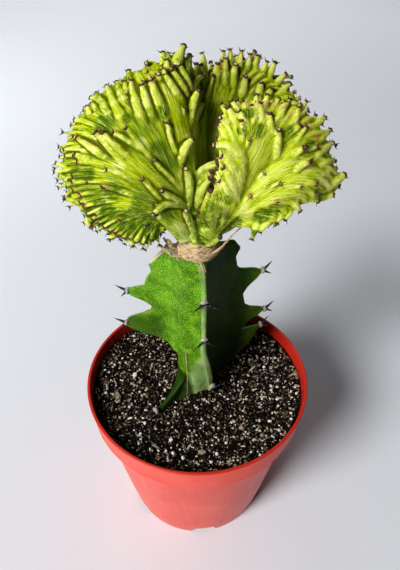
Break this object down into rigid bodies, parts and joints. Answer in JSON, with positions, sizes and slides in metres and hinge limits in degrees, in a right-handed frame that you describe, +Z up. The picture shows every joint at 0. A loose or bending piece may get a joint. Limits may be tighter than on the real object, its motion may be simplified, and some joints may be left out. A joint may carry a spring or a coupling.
{
  "type": "potted coral cactus",
  "caption": "Crested coral cactus grafted on a spiny winged green stem, standing in potting mix in a round tapered plastic nursery pot.",
  "frame": {"origin": "centre of the pot's foot, on the plane that the pot stands on", "axes": "+Z up along the pot's axis, +Y away from the viewer's side, +X to the viewer's right"},
  "size_m": [0.12, 0.12, 0.2609],
  "materials": {
    "pot_plastic": "satin moulded coral-red plastic",
    "potting_mix": "dark crumbly peat with perlite grains",
    "stock_skin": "smooth green succulent skin with pale speckles",
    "dry_callus": "dry straw-coloured corky fibres",
    "crest_skin": "satin yellow-green succulent skin with darker streaks"
  },
  "bodies": {
    "root": {"pot": "pot_plastic", "soil": "potting_mix", "stock": "stock_skin", "graft_callus": "dry_callus", "crest": "crest_skin"}
  },
  "joints": []
}
